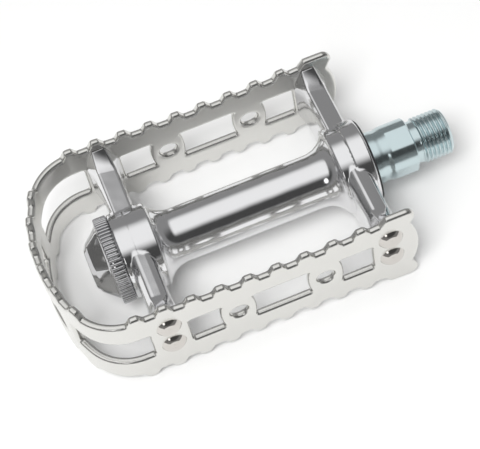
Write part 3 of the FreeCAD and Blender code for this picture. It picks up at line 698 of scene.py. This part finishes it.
def flats(angle):
    """Four spanner flats, with the round collar left at their corners."""
    quarter = (angle - FLAT_LEAN + math.pi / 4) % (math.pi / 2) - math.pi / 4
    return soft_min(np.full_like(angle, COLLAR_RADIUS), FLAT_REACH / np.cos(quarter), FLAT_SOFT)


# %% Thread
INCH, THREADS_PER_INCH = 25.4, 20
THREAD_PITCH, THREAD_DEPTH, CREST_SHARE = INCH / THREADS_PER_INCH, 0.55, 0.42
THREAD_RADIUS, END_BEVEL = 7.144, 0.9
print(f"thread of {2 * THREAD_RADIUS:.2f} mm with a pitch of {THREAD_PITCH:.2f} mm")


def thread_ring(x):
    """Radius round the thread at one place: a crest that climbs one pitch in a turn."""
    def radius(angle):
        phase = (x / THREAD_PITCH - angle / (2 * math.pi)) % 1
        crest = ease(ramp(np.abs(phase - 0.5), 0.0, CREST_SHARE))
        run_in = ramp(x, THREAD_START, THREAD_START + THREAD_PITCH / 2)
        cut = THREAD_RADIUS - THREAD_DEPTH * (1 - crest)
        limit = THREAD_END - x + THREAD_RADIUS - END_BEVEL
        return np.minimum(NECK_RADIUS + (cut - NECK_RADIUS) * run_in, limit)
    return radius


# %% Turn the spindle
TAIL_RADIUS, STEP_RADIUS, SHAFT_RADIUS = 3.97, 5.0, 6.0
STEP_PLACE = 5.6 - ARM_REACH
BALL_CIRCLE, BALL_RADIUS, RACE_PLAY = 8.3, 1.9845, 0.05
INNER_BALLS, OUTER_BALLS = ARM_REACH + 0.9, 2.1 - ARM_REACH
RACE_RADIUS, RACE_STEP, RACE_END = 7.6, INNER_BALLS + 0.2, ARM_REACH + 3.8
# The bead and groove behind the flats: distance from the boss's face, and depth below the collar.
BEAD_DEPTHS = [(0.0, 0.55), (1.4, 0.25), (2.8, 0.22), (4.9, 0.42), (6.9, 0.0)]
SEAT_BEVEL = 0.35
RACE_ROWS, BEAD_ROWS, ROWS_PER_PITCH = 7, 8, 12


def spindle_rows():
    """Rings from the tail to the thread's end: shaft, ball race, bead, collar with flats, neck and thread."""
    race = BALL_RADIUS + RACE_PLAY
    race_rise = INNER_BALLS + math.sqrt(race ** 2 - (BALL_CIRCLE - RACE_RADIUS) ** 2)
    rows = [(TAIL, TAIL_RADIUS - END_BEVEL), (TAIL + END_BEVEL, TAIL_RADIUS), (STEP_PLACE, TAIL_RADIUS),
            (STEP_PLACE, STEP_RADIUS), (RACE_STEP, SHAFT_RADIUS)]
    rows += [(x, BALL_CIRCLE - math.sqrt(race ** 2 - (x - INNER_BALLS) ** 2))
             for x in np.linspace(RACE_STEP, race_rise, RACE_ROWS)]
    rows += [(RACE_END, RACE_RADIUS), (RACE_END, COLLAR_RADIUS - BEAD_DEPTHS[0][1])]
    for (start, depth), (end, next_depth) in zip(BEAD_DEPTHS, BEAD_DEPTHS[1:]):
        for share in np.linspace(0, 1, BEAD_ROWS, endpoint=False):
            radius = COLLAR_RADIUS - depth - (next_depth - depth) * ease(share)
            rows.append((INNER_FACE + start + (end - start) * share, radius))
    rows += [(INNER_FACE + BEAD_DEPTHS[-1][0], COLLAR_RADIUS), (SEAT - FLAT_LENGTH, COLLAR_RADIUS)]
    rows += [(SEAT - FLAT_LENGTH, flats), (SEAT - SEAT_BEVEL, flats)]
    rows += [(SEAT, lambda angle: flats(angle) - SEAT_BEVEL)]
    rows += [(SEAT, NECK_RADIUS), (THREAD_START, NECK_RADIUS)]
    count = int((THREAD_END - THREAD_START) / THREAD_PITCH * ROWS_PER_PITCH)
    return rows + [(x, thread_ring(x)) for x in np.linspace(THREAD_START, THREAD_END, count)]


def make_spindle():
    piece = lathe("spindle_turned", spindle_rows())
    piece.data.materials.append(ZINC)
    dress(piece, "spindle", "spindle", "spindle")


make_spindle()

# %% [markdown]
# ## The dust cap and the seal
#
# The cap keeps dirt out of the outer bearing. Its tapered hexagon takes a spanner, and a knurled ring gives
# the fingers a hold. On the crank side a rubber seal does the same work about the collar.

# %% Dust cap
cap_low, cap_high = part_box("dust_cap")
CAP_TIP, CAP_SPIGOT = from_middle(cap_low.x), from_middle(cap_high.x)
RING_LENGTH = 4.2
CAP_RING_END = OUTER_FACE - RING_LENGTH
CAP_RADIUS, RIDGE_RISE = 13.3, 0.5
RING_BEVEL, RING_BEVEL_LENGTH, FOOT_BEVEL = 0.7, 0.6, 0.3
HEX_BASE, HEX_END, HEX_LEAN = 10.8, 6.2, math.radians(18)
HEX_ROUND, HEX_SOFT, HEX_ROWS = 1.115, 0.8, 10
# The round edge of the tip: share of the tip's size, and distance from its end.
TIP_EDGE = [(0.5, 0.0), (0.84, 0.06), (0.95, 0.3), (1.0, 0.8)]
TIP_TAPER, TIP_LENGTH = 0.06, 1.2
CAP_HOLE, CAP_WALL = 9.3, 2.4


def hexagon(reach):
    """A hexagon with rounded corners, as radius by angle; reach is from the axis to a flat."""
    def radius(angle):
        sixth = (angle - math.pi / 2 + HEX_LEAN + math.pi / 3) % (math.pi / 3) - math.pi / 6
        return soft_min(reach / np.cos(sixth), np.full_like(angle, reach * HEX_ROUND), HEX_SOFT)
    return radius


def cap_rows():
    """Rings from the tip down the hexagon and the ring to the spigot, and back up inside."""
    rows = [(CAP_TIP + inset, hexagon(HEX_END * share + TIP_TAPER * inset)) for share, inset in TIP_EDGE]
    rows += [(x, hexagon(HEX_END + (HEX_BASE - HEX_END) * ramp(x, CAP_TIP, CAP_RING_END)))
             for x in np.linspace(CAP_TIP + TIP_LENGTH, CAP_RING_END, HEX_ROWS)]
    ring = CAP_RADIUS - RIDGE_RISE
    rows += [(CAP_RING_END, ring - RING_BEVEL), (CAP_RING_END + RING_BEVEL_LENGTH, ring)]
    rows += [(OUTER_FACE - FOOT_BEVEL, ring), (OUTER_FACE, ring - FOOT_BEVEL), (OUTER_FACE, CUP_RADIUS)]
    rows += [(CAP_SPIGOT, CUP_RADIUS), (CAP_SPIGOT, CAP_HOLE), (CAP_RING_END, CAP_HOLE)]
    return rows + [(CAP_TIP + CAP_WALL, HEX_END)]


def make_cap():
    piece = lathe("cap_shell", cap_rows(), turns=144, sharp_angle=55)
    piece.data.materials.append(CHROME)
    dress(piece, "pedal", "cap", "dust_cap")


make_cap()

# %% Seal
seal_low, seal_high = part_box("inner_seal")
SEAL_PLAY, SEAL_BEVEL = 0.1, 0.25


def make_seal():
    """A ring about the collar with a bevel on its crank side."""
    start, end = from_middle(seal_low.x), from_middle(seal_high.x)
    outer, inner = seal_high.z / MM, COLLAR_RADIUS + SEAL_PLAY
    bevel = [(end - SEAL_BEVEL, outer), (end, outer - SEAL_BEVEL)]
    rows = [(start, inner), (start, outer), *bevel, (end, inner), (start, inner)]
    piece = lathe("seal_ring", rows, turns=96)
    piece.data.materials.append(RUBBER)
    dress(piece, "pedal", "seal", "inner_seal")


make_seal()

# %% [markdown]
# ## What repeats
#
# Rivets, the ridges of the knurl and the balls are one shape many times over, which is what Geometry Nodes
# are for. The rivets sit on the eight corners of a box, so a cube primitive is their pattern. The ridges
# and the balls stand on circles. Each tree has named sizes, ends in real geometry with its material set,
# and is then turned into a plain mesh.

# %% Geometry node helpers
def new_pattern(name, sizes):
    """An empty geometry tree with one named input for each size, and the wires that carry them."""
    group = bpy.data.node_groups.new(name, "GeometryNodeTree")
    group.interface.new_socket("Geometry", in_out="OUTPUT", socket_type="NodeSocketGeometry")
    for label, kind in sizes.items():
        group.interface.new_socket(label, in_out="INPUT", socket_type=kind)
    tree = Tree(group)
    source = group.nodes.new("NodeGroupInput")
    return group, tree, {label: Wire(tree, source.outputs[label]) for label in sizes}


def end_pattern(tree, instances, material):
    real = tree.add("GeometryNodeRealizeInstances", None, {"Geometry": instances})
    painted = tree.add("GeometryNodeSetMaterial", None, {"Geometry": real, "Material": material})
    tree.add("NodeGroupOutput", None, {"Geometry": painted})


def grow(name, group, sizes):
    """The plain mesh that a geometry tree makes with these sizes."""
    seed = bpy.data.objects.new(name + "_seed", bpy.data.meshes.new(name + "_seed"))
    bpy.context.scene.collection.objects.link(seed)
    modifier = seed.modifiers.new("pattern", "NODES")
    modifier.node_group = group
    for item in group.interface.items_tree:
        if item.in_out == "INPUT":
            modifier[item.identifier] = sizes[item.name]
    bpy.context.view_layer.update()
    mesh = bpy.data.meshes.new_from_object(seed.evaluated_get(bpy.context.evaluated_depsgraph_get()))
    bpy.data.objects.remove(seed)
    mesh.name = name
    piece = bpy.data.objects.new(name, mesh)
    bpy.context.scene.collection.objects.link(piece)
    return piece


# %% [markdown]
# ## Rivets
#
# Two rivets hold each foot of the casting to the cage. A head is low, with a round rim and a soft ring left
# by the tool that closed it. Eight copies placed by hand would do, but a pattern keeps them in step with
# the arms.

# %% Rivets
HEAD_RADIUS, HEAD_RISE, SHANK_RADIUS = 3.75, 1.2, 2.4
RIM_START, RIM_END, RIM_ROWS = math.radians(37), math.radians(57), 10
# The soft ring in the head: depth below the top, and radius.
DIMPLE = [(0.02, 0.35), (0.14, 0.7), (0.15, 0.85), (0.03, 1.15), (0.0, 1.3)]
rivet_depth = (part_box("rivet_front_inner_upper")[1].y - cage_low.y) / MM


def rivet_master():
    """One rivet with its head's seat at the origin and its head to the front."""
    dimple = [(HEAD_RISE - depth, radius) for depth, radius in DIMPLE]
    bulge = HEAD_RISE / (math.cos(RIM_START) - math.cos(RIM_END))
    turn = np.linspace(RIM_START, RIM_END, RIM_ROWS)
    rise, inset = bulge * (np.cos(turn) - math.cos(RIM_END)), bulge * (math.sin(RIM_END) - np.sin(turn))
    rim = list(zip(rise, HEAD_RADIUS - inset))
    rows = dimple + rim + [(0.0, SHANK_RADIUS), (-rivet_depth, SHANK_RADIUS)]
    piece = lathe("rivet_master", rows[::-1], turns=48, sharp_angle=28)
    piece.data.transform(Matrix.Translation((-CAGE_MIDDLE, 0, 0)))
    piece.data.transform(Matrix.Rotation(-math.pi / 2, 4, "Z"))
    return piece


def rivet_pattern(material):
    """A rivet on each corner of a box, turned by half on the rear plate."""
    sizes = {"Rivet": "NodeSocketObject", "Reach": "NodeSocketFloat", "Width": "NodeSocketFloat",
             "Spread": "NodeSocketFloat", "Middle": "NodeSocketFloat", "Lift": "NodeSocketFloat"}
    group, tree, size = new_pattern("rivets_on_box_corners", sizes)
    extent = {0: size["Reach"] * 2, 1: size["Width"], 2: size["Spread"]}
    corners = tree.add("GeometryNodeMeshCube", None, {"Size": tree.add("ShaderNodeCombineXYZ", None, extent)})
    place = tree.add("GeometryNodeInputPosition")
    rear = tree.add("ShaderNodeSeparateXYZ", None, {0: place}, output=1) > 0.0
    turn = tree.add("ShaderNodeCombineXYZ", None, {2: rear * math.pi})
    shape = tree.add("GeometryNodeObjectInfo", None, {"Object": size["Rivet"]}, output="Geometry")
    sockets = {"Points": corners, "Instance": shape, "Rotation": turn}
    rivets = tree.add("GeometryNodeInstanceOnPoints", None, sockets)
    shift = tree.add("ShaderNodeCombineXYZ", None, {0: size["Middle"], 2: size["Lift"]})
    moved = tree.add("GeometryNodeTransform", None, {"Geometry": rivets, "Translation": shift})
    end_pattern(tree, moved, material)
    return group


def make_rivets():
    master = rivet_master()
    piece = grow("rivet_set", rivet_pattern(RIVET), {
        "Rivet": master, "Reach": ARM_REACH * MM, "Width": CAGE_WIDTH * MM, "Spread": RIVET_SPREAD * MM,
        "Middle": CAGE_MIDDLE, "Lift": RIVET_LIFT * MM})
    bpy.data.objects.remove(master)
    dress(piece, "pedal", "rivet", *RIVETS)


make_rivets()

# %% [markdown]
# ## Knurl and balls
#
# The knurl is a ring of round ridges pressed into the cap, and each bearing is a ring of loose balls. A
# bump map could show the ridges, but they stand out against the table, so they are real shapes.

# %% Patterns on a circle
def ring_pattern(name, material, shape_maker, shape_size):
    """Copies of one shape on a circle about the spindle, each turned to face outwards."""
    sizes = {"Count": "NodeSocketInt", "Circle": "NodeSocketFloat", "Place": "NodeSocketFloat", **shape_size}
    group, tree, size = new_pattern(name, sizes)
    circle = tree.add("GeometryNodeMeshCircle", None, {"Vertices": size["Count"], "Radius": size["Circle"]})
    turn = tree.add("GeometryNodeInputIndex") * (2 * math.pi) / size["Count"]
    copies = tree.add("GeometryNodeInstanceOnPoints", None, {
        "Points": circle, "Instance": shape_maker(tree, size),
        "Rotation": tree.add("ShaderNodeCombineXYZ", None, {2: turn})})
    shift = tree.add("ShaderNodeCombineXYZ", None, {0: size["Place"]})
    sockets = {"Geometry": copies, "Translation": shift, "Rotation": (0, math.pi / 2, 0)}
    end_pattern(tree, tree.add("GeometryNodeTransform", None, sockets), material)
    return group


# %% Knurl
RIDGES, RIDGE_WIDTH, RIDGE_END = 64, 0.94, 0.7
RIDGE_COLUMNS, RIDGE_ROWS = 9, 11
TIP_GAP, FOOT_GAP = 0.1, 0.05


def ridge_shape(tree, size):
    return tree.add("GeometryNodeObjectInfo", None, {"Object": size["Ridge"]}, output="Geometry")


def ridge_master(length):
    """One ridge with a round top and round ends; its foot is at the origin, and X points outwards."""
    across = np.sin(np.linspace(-math.pi / 2, math.pi / 2, RIDGE_COLUMNS))
    ends = np.sin(np.linspace(-math.pi / 2, math.pi / 2, RIDGE_ROWS))
    along = ends * RIDGE_END + np.sign(np.round(ends, WELD_DIGITS)) * (length / 2 - RIDGE_END)
    points = [(RIDGE_RISE * math.sqrt(max((1 - y * y) * (1 - e * e), 0)), y * RIDGE_WIDTH / 2, z)
              for e, z in zip(ends, along) for y in across]
    grid = np.arange(len(points)).reshape(len(ends), len(across))
    corners = (grid[:-1, :-1], grid[:-1, 1:], grid[1:, 1:], grid[1:, :-1])
    faces = list(zip(*(corner.ravel() for corner in corners)))
    rim = np.array([*grid[:-1, 0], *grid[-1, :-1], *grid[:0:-1, -1], *grid[0, :0:-1]])
    foot = [(len(points), a, b) for a, b in zip(rim, np.roll(rim, -1))]
    piece = new_piece("ridge_master", [*points, (0, 0, 0)], faces + foot)
    piece.data.transform(Matrix.Translation((-CAGE_MIDDLE, 0, 0)))
    return piece


def make_ridges():
    start, end = CAP_RING_END + TIP_GAP, OUTER_FACE - FOOT_GAP
    master = ridge_master(end - start)
    group = ring_pattern("knurl_ridges", CHROME, ridge_shape, {"Ridge": "NodeSocketObject"})
    piece = grow("cap_knurl", group, {
        "Count": RIDGES, "Circle": (CAP_RADIUS - RIDGE_RISE) * MM, "Ridge": master,
        "Place": CAGE_MIDDLE + (start + end) / 2 * MM})
    bpy.data.objects.remove(master)
    dress(piece, "pedal", "cap", "dust_cap")


make_ridges()

# %% Balls
BALLS, BALL_SEGMENTS, BALL_RINGS = 12, 32, 16


def ball_shape(tree, size):
    sockets = {"Segments": BALL_SEGMENTS, "Rings": BALL_RINGS, "Radius": size["Radius"]}
    ball = tree.add("GeometryNodeMeshUVSphere", None, sockets)
    return tree.add("GeometryNodeSetShadeSmooth", None, {"Geometry": ball, "Shade Smooth": True})


def make_balls():
    group = ring_pattern("bearing_balls", STEEL, ball_shape, {"Radius": "NodeSocketFloat"})
    for side, place in (("inner", INNER_BALLS), ("outer", OUTER_BALLS)):
        piece = grow(f"{side}_balls_polished", group, {
            "Count": BALLS, "Circle": BALL_CIRCLE * MM, "Radius": BALL_RADIUS * MM,
            "Place": CAGE_MIDDLE + place * MM})
        dress(piece, f"{side}_bearing", "ball", f"{side}_ball_set")


make_balls()

# %% [markdown]
# ## Hidden rings
#
# Cups, cone, washer and nut sit inside the bosses, where hardly anything of them shows. New meshes would
# gain nothing, so their solids stay and only take the steel's finish.

# %% Solids shown as they are
for node in ("inner_cup", "outer_cup", "outer_cone", "lock_washer", "lock_nut"):
    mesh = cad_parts[node].data
    mesh.materials.clear()
    mesh.materials.append(STEEL)
print("bearing rings keep their solids")

# %% [markdown]
# ## Table
#
# The pedal lies on a white sheet. A plain diffuse sheet comes out grey where the light falls off, so this one
# also glows a little for the lens and for mirrors.

# %% Table
TABLE_SIZE = 6.0
TABLE_GLOW = 0.05
PAPER_WHITE = (0.86, 0.86, 0.855, 1)


def make_table():
    """A white sheet under the teeth, a little brighter to the lens and in mirrors than to the pedal."""
    material, tree = new_finish("white_table")
    paper = tree.add("ShaderNodeBsdfDiffuse", None, {"Color": PAPER_WHITE})
    to_lens = tree.add("ShaderNodeLightPath", output="Is Camera Ray")
    to_mirror = tree.add("ShaderNodeLightPath", output="Is Glossy Ray")
    strength = (to_lens + to_mirror) * TABLE_GLOW
    glow = tree.add("ShaderNodeEmission", None, {"Color": (1, 1, 1, 1), "Strength": strength})
    surface = tree.add("ShaderNodeAddShader", None, {0: paper, 1: glow})
    tree.add("ShaderNodeOutputMaterial", None, {"Surface": surface})
    half, level = TABLE_SIZE / 2, cad_box[0].z
    mesh = bpy.data.meshes.new("table")
    corners = [(x * half, y * half, level) for x, y in ((-1, -1), (1, -1), (1, 1), (-1, 1))]
    mesh.from_pydata(corners, [], [(0, 1, 2, 3)])
    mesh.materials.append(material)
    table = bpy.data.objects.new("table", mesh)
    bpy.context.scene.collection.objects.link(table)


make_table()
print(f"table {TABLE_SIZE:.0f} m wide, {-cad_box[0].z / MM:.1f} mm below the spindle's axis")

# %% [markdown]
# ## Room
#
# What the metals mirror is the room: a bright panel overhead, a dim wall at the rear, the dark side behind
# the lens, which the buffed casting shows as a grey band, and a small bright pane at the front left, which
# shows as a spark. A picture of a studio could light it too, but a few plain areas are easier to move.

# %% Room
ROOM_FRONT, ROOM_FLOOR, ROOM_REAR, CEILING = 0.07, 0.26, 0.29, 1.06
# Each edge fades from its first limit to its second. The panel's limits are slopes as seen from the pedal.
PANEL_LEFT, PANEL_RIGHT = (-1.5, -1.2), (0.75, 0.4)
PANEL_NEAR, PANEL_FAR = (-0.85, -0.25), (1.15, 0.42)
FLOOR_EDGE, REAR_EDGE = (0.3, 0.45), (-0.3, 0.3)
PANE_AIM, PANE_EDGE, PANE_GLOW = Vector((-0.48, -0.65, 0.58)).normalized(), (0.985, 0.995), 2.0
LEAST_HEIGHT = 0.05


def make_world():
    """A room, dark behind the lens and dim at the rear, with a soft panel overhead and a small pane."""
    world = bpy.data.worlds.new("studio")
    world.use_nodes = True
    bpy.context.scene.world = world
    tree = Tree(world.node_tree)
    direction = tree.add("ShaderNodeTexCoord", output="Generated")
    x, y, z = (tree.add("ShaderNodeSeparateXYZ", None, {0: direction}, output=axis) for axis in range(3))

    def rise(value, edge, low=0.0, high=1.0):
        return tree.add("ShaderNodeMapRange", {"interpolation_type": "SMOOTHSTEP"}, {
            "Value": value, "From Min": edge[0], "From Max": edge[1], "To Min": low, "To Max": high})

    height = tree.add("ShaderNodeMath", {"operation": "MAXIMUM"}, {0: z, 1: LEAST_HEIGHT})
    across, along = x / height, y / height
    panel = rise(across, PANEL_LEFT) * rise(across, PANEL_RIGHT)
    panel = panel * rise(along, PANEL_NEAR) * rise(along, PANEL_FAR)
    front = rise(z, FLOOR_EDGE, ROOM_FLOOR, ROOM_FRONT)
    facing = x * PANE_AIM.x + y * PANE_AIM.y + z * PANE_AIM.z
    room = front + rise(y, REAR_EDGE) * (ROOM_REAR - front) + rise(facing, PANE_EDGE) * PANE_GLOW
    sky = tree.add("ShaderNodeBackground", None, {"Color": room + panel * (CEILING - room), "Strength": 1.0})
    tree.add("ShaderNodeOutputWorld", None, {"Surface": sky})


make_world()
print("room: panel", CEILING, "rear", ROOM_REAR, "front", ROOM_FRONT)

# %% [markdown]
# ## Lamp
#
# One soft box at the front left throws short shadows to the rear right. The metals already have their panel
# to mirror, so the lamp is hidden from them.

# %% Lamp
middle = Vector((CAGE_MIDDLE, 0, 0))


def make_lamp(name, place, size, power):
    """A square soft box at a place from the middle of the cage, in metres, that the metals don't mirror."""
    data = bpy.data.lights.new(name, "AREA")
    data.shape, data.size, data.energy = "SQUARE", size, power
    lamp = bpy.data.objects.new(name, data)
    bpy.context.scene.collection.objects.link(lamp)
    lamp.location = middle + Vector(place)
    lamp.rotation_euler = (-Vector(place)).to_track_quat("-Z", "Y").to_euler()
    lamp.visible_glossy = False
    print(f"{name}: {power:.0f} W, {size:.1f} m wide, {Vector(place).length:.2f} m away")


make_lamp("key_box", place=(-0.26, -0.38, 0.84), size=0.4, power=7.0)

# %% [markdown]
# ## Camera
#
# The camera was fitted to the outline of the cage in the photograph. A Track To constraint would aim it
# too, but the photographer held it with some roll, so its three axes are worked out one by one.

# %% Camera
AZIMUTH, ELEVATION, ROLL = (math.radians(a) for a in (-9.04, 57.29, -13.85))
CAMERA_DISTANCE = 461.1
AIM_RIGHT, AIM_UP, AIM_LIFT = 1.03, 4.82, 0.45
FOCAL_PIXELS, PHOTO_WIDTH, SENSOR = 1564.3, 480, 36.0
CLIP_START, CLIP_END = 0.01, 20


def make_camera():
    """The camera from two angles, its roll, its distance and its aim beside the middle of the cage."""
    back = Vector((math.sin(AZIMUTH) * math.cos(ELEVATION), -math.cos(AZIMUTH) * math.cos(ELEVATION),
                   math.sin(ELEVATION)))
    level = Vector((math.cos(AZIMUTH), math.sin(AZIMUTH), 0))
    upright = back.cross(level)
    right = math.cos(ROLL) * level + math.sin(ROLL) * upright
    up = math.cos(ROLL) * upright - math.sin(ROLL) * level
    data = bpy.data.cameras.new("camera")
    data.sensor_width, data.lens = SENSOR, FOCAL_PIXELS * SENSOR / PHOTO_WIDTH
    data.clip_start, data.clip_end = CLIP_START, CLIP_END
    camera = bpy.data.objects.new("camera", data)
    bpy.context.scene.collection.objects.link(camera)
    turn = Matrix((right, up, back)).transposed().to_4x4()
    eye = CAMERA_DISTANCE * back - AIM_RIGHT * right - AIM_UP * up + Vector((0, 0, AIM_LIFT))
    camera.matrix_world = Matrix.Translation(middle + eye * MM) @ turn
    bpy.context.scene.camera = camera
    print("camera at", [round(v, 3) for v in camera.location], "lens", round(data.lens, 1))


make_camera()
bpy.context.scene.view_settings.view_transform = "Standard"
